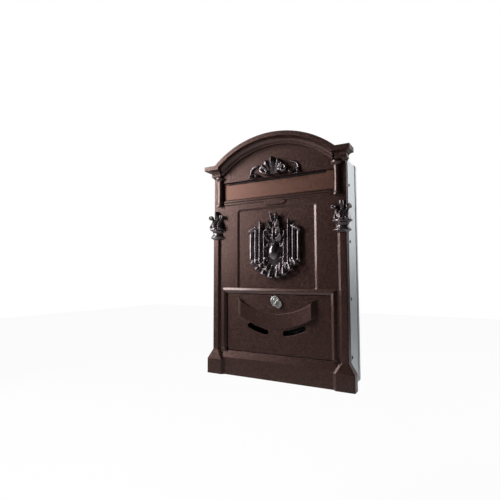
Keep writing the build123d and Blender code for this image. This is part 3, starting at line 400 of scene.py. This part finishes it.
# Capitals. Two turned rings below a bell with curled leaves, two volutes and a small palmette,
# cast half round with a flat back, each on one stud through the column's face.
capital_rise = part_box("capital_left")[1][2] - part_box("capital_left")[0][2]
turned = (
    # radius and height of each ring of the turned part, as shares of the capital's height
    (0.188, 0.0), (0.298, 0.07), (0.285, 0.10), (0.23, 0.147), (0.20, 0.206), (0.225, 0.284),
    (0.314, 0.343), (0.314, 0.382), (0.235, 0.43), (0.20, 0.50), (0.215, 0.60), (0.16, 0.70),
)
bell = drawn("bell", 32, 2 * turned[0][0], 2 * turned[0][0] / 2, [
    (high[1] - low[1], 0, high[0] / low[0]) for low, high in zip(turned, turned[1:])
])
capital_middle, capital_stud_across, capital_stud_up = 0.1142, 0.112, 0.072
for name, side in (("capital_left", -1), ("capital_right", 1)):
    middle, foot = side * capital_middle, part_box(name)[0][2]

    def capital_at(across, up, out=0.0):
        return (middle + across * capital_rise, field_face - out, foot + up * capital_rise)

    forms = [placed(bell, capital_at(0, 0, -0.004), (capital_rise,) * 3)]
    for across, lean, wide, long, out in (
        (0.0, 0, 0.0125, 0.30, 0.006), (-0.15, -8, 0.0100, 0.22, 0.004), (0.15, 8, 0.0100, 0.22, 0.004),
    ):
        forms.append(placed(lobe, capital_at(across, 0.38, out), (wide, 0.011, long * capital_rise), lean))
    forms.append(placed(lobe, capital_at(0, 1.0, 0.001), (0.0088, 0.010, -0.40 * capital_rise)))
    for turn in (-1, 1):
        arm = capital_at(turn * 0.06, 0.42, 0.002)
        forms.append(placed(lobe, arm, (0.0125, 0.010, 0.0165), turn * 20))
        scroll = capital_at(turn * 0.225, 0.775, 0.004)
        forms.append(placed(roll, scroll, (0.0046, 0.012, 0.0041)))
        forms.append(placed(lobe, capital_at(turn * 0.225, 0.73, 0.004), (0.0040, 0.009, 0.0036)))
    casting = cast(name + "_casting", forms, field_face, 0.00045)
    studs(casting, ((side * capital_stud_across, capital_stud_up),), field_face, field_stud_length)
    paint(casting, ornament_paint)
    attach(casting, "root")
    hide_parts(name)
for master in (feather, lobe, blade, curl, roll, tendril, bell):
    bpy.data.objects.remove(master)

# Steel box. The shell and the back panel, folded from zinc coated sheet and left unpainted,
# pale blue grey with a faint spangle.
box_steel, nodes, links, shader = new_material("zinc coated sheet", (0.62, 0.66, 0.68), 0.42, 0.8)
spangle = grain(nodes, links, "ShaderNodeTexVoronoi", 90.0)
ramp = tone_ramp(nodes, links, spangle, "Distance", (0.58, 0.62, 0.64), (0.70, 0.74, 0.76), 0.1, 0.8)
links.new(ramp.outputs["Color"], shader.inputs["Base Color"])
for name in ("box_shell", "back_panel"):
    paint(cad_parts[name], box_steel)

# Rivets and flap rod. The rivets join the box's sides to the flanges of the casting, and the
# rod carries the flap. Both are plain steel, blackened before they went in.
black_steel, nodes, links, shader = new_material("blackened steel", (0.02, 0.02, 0.022), 0.45, 0.6)
scale = grain(nodes, links, "ShaderNodeTexNoise", 500.0)
ramp = tone_ramp(nodes, links, scale, "Fac", (0.35,) * 3, (0.6,) * 3)
links.new(ramp.outputs["Color"], shader.inputs["Roughness"])
for name in ("rivets_left", "rivets_right", "flap_hinge_rod"):
    paint(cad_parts[name], black_steel)

# Small hidden parts. The door's pins, the clips on the ornaments' studs, and the cam, nut and
# screw of the lock are steel, all in bright zinc plate.
bright_zinc, nodes, links, shader = new_material("bright zinc", (0.60, 0.60, 0.60), 0.3, 1.0)
stain = grain(nodes, links, "ShaderNodeTexNoise", 160.0)
ramp = tone_ramp(nodes, links, stain, "Fac", (0.24,) * 3, (0.42,) * 3)
links.new(ramp.outputs["Color"], shader.inputs["Roughness"])
for name in ("door_pins", "ornament_clips", "cam_screw", "lock_cam", "lock_nut"):
    paint(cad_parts[name], bright_zinc)

# Lock. Turned and stamped brass with nickel plate: the flange and barrel, the plug with its
# keyway, and the cover that swings over the keyway on its own small rivet.
lock_plate, nodes, links, shader = new_material("nickel plate", (0.88, 0.86, 0.83), 0.28, 1.0)
haze = grain(nodes, links, "ShaderNodeTexNoise", 300.0)
ramp = tone_ramp(nodes, links, haze, "Fac", (0.20,) * 3, (0.34,) * 3)
rounding = nodes.new("ShaderNodeBevel")
rounding.samples = 4
rounding.inputs["Radius"].default_value = 0.0009
links.new(rounding.outputs["Normal"], shader.inputs["Normal"])
links.new(ramp.outputs["Color"], shader.inputs["Roughness"])
for name in ("lock_housing", "lock_plug", "keyhole_cover", "cover_rivet"):
    paint(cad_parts[name], lock_plate)

# Stage. A plain pale floor well below the box, which keeps its shadow, and white all round.
bpy.ops.object.select_all(action="DESELECT")
bpy.ops.mesh.primitive_plane_add(size=8, location=(0, 0, -0.46))
floor = bpy.context.object
floor.name = "floor"
floor_material, nodes, links, shader = new_material("pale floor", (0.86, 0.86, 0.86), 0.8, 0.0)
floor.data.materials.append(floor_material)
lit = nodes.new("ShaderNodeEmission")
lit.inputs["Color"].default_value = (1, 1, 1, 1)
ray = nodes.new("ShaderNodeLightPath")
share = nodes.new("ShaderNodeMath")
share.operation = "MULTIPLY"
share.inputs[1].default_value = 0.96
blend = nodes.new("ShaderNodeMixShader")
links.new(ray.outputs["Is Camera Ray"], share.inputs[0])
links.new(share.outputs["Value"], blend.inputs["Fac"])
links.new(shader.outputs["BSDF"], blend.inputs[1])
links.new(lit.outputs["Emission"], blend.inputs[2])
links.new(blend.outputs["Shader"], nodes["Material Output"].inputs["Surface"])
floor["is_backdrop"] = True

world = bpy.data.worlds.new("studio")
bpy.context.scene.world = world
world.use_nodes = True
nodes, links = world.node_tree.nodes, world.node_tree.links
soft_light = nodes["Background"]
soft_light.inputs["Color"].default_value = (0.93, 0.96, 1.0, 1)
direction = nodes.new("ShaderNodeTexCoord")
parts = nodes.new("ShaderNodeSeparateXYZ")
fade = nodes.new("ShaderNodeMapRange")
fade.interpolation_type = "SMOOTHSTEP"
fade.inputs["From Min"].default_value = -0.95
fade.inputs["From Max"].default_value = -0.35
fade.inputs["To Min"].default_value = 0.3
fade.inputs["To Max"].default_value = 0.015
links.new(direction.outputs["Generated"], parts.inputs["Vector"])
links.new(parts.outputs["X"], fade.inputs["Value"])
links.new(fade.outputs["Result"], soft_light.inputs["Strength"])
white = nodes.new("ShaderNodeBackground")
white.inputs["Color"].default_value = (1, 1, 1, 1)
white.inputs["Strength"].default_value = 1.0
ray = nodes.new("ShaderNodeLightPath")
blend = nodes.new("ShaderNodeMixShader")
links.new(ray.outputs["Is Camera Ray"], blend.inputs["Fac"])
links.new(soft_light.outputs["Background"], blend.inputs[1])
links.new(white.outputs["Background"], blend.inputs[2])
links.new(blend.outputs["Shader"], nodes["World Output"].inputs["Surface"])

# Lamps. A tall soft box close on the left gives the field its sheen, a second one further round
# lights the flanks of the mouldings, and one behind on the right lights the steel box.
for name, place, aim, width, height, power in (
    ("key", (-0.52, -0.40, 0.30), (-0.02, -0.06, 0.05), 0.22, 0.60, 7.0),
    ("edge", (-1.40, -0.12, 0.25), (0.0, -0.06, 0.0), 0.7, 0.7, 9.0),
    ("side", (1.2, 1.05, 0.80), (0.12, 0.0, 0.05), 1.5, 1.7, 16.0),
):
    lamp = bpy.data.objects.new(name, bpy.data.lights.new(name, "AREA"))
    bpy.context.collection.objects.link(lamp)
    lamp.data.shape = "RECTANGLE"
    lamp.data.size = width
    lamp.data.size_y = height
    lamp.data.energy = power
    lamp.location = place
    away = lamp.location - type(lamp.location)(aim)
    lamp.rotation_euler = away.to_track_quat("Z", "Y").to_euler()

# Camera. At the place and with the lens that a fit to the photo's corners gave.
camera = bpy.data.objects.new("camera", bpy.data.cameras.new("camera"))
bpy.context.collection.objects.link(camera)
camera.location = (0.2692, -0.6287, -0.0204)
camera.rotation_euler = (math.radians(94.0), math.radians(0.1), math.radians(29.1))
camera.data.sensor_width = 36
camera.data.lens = 27.21
bpy.context.scene.camera = camera
bpy.context.scene.view_settings.view_transform = "Standard"

low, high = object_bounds()
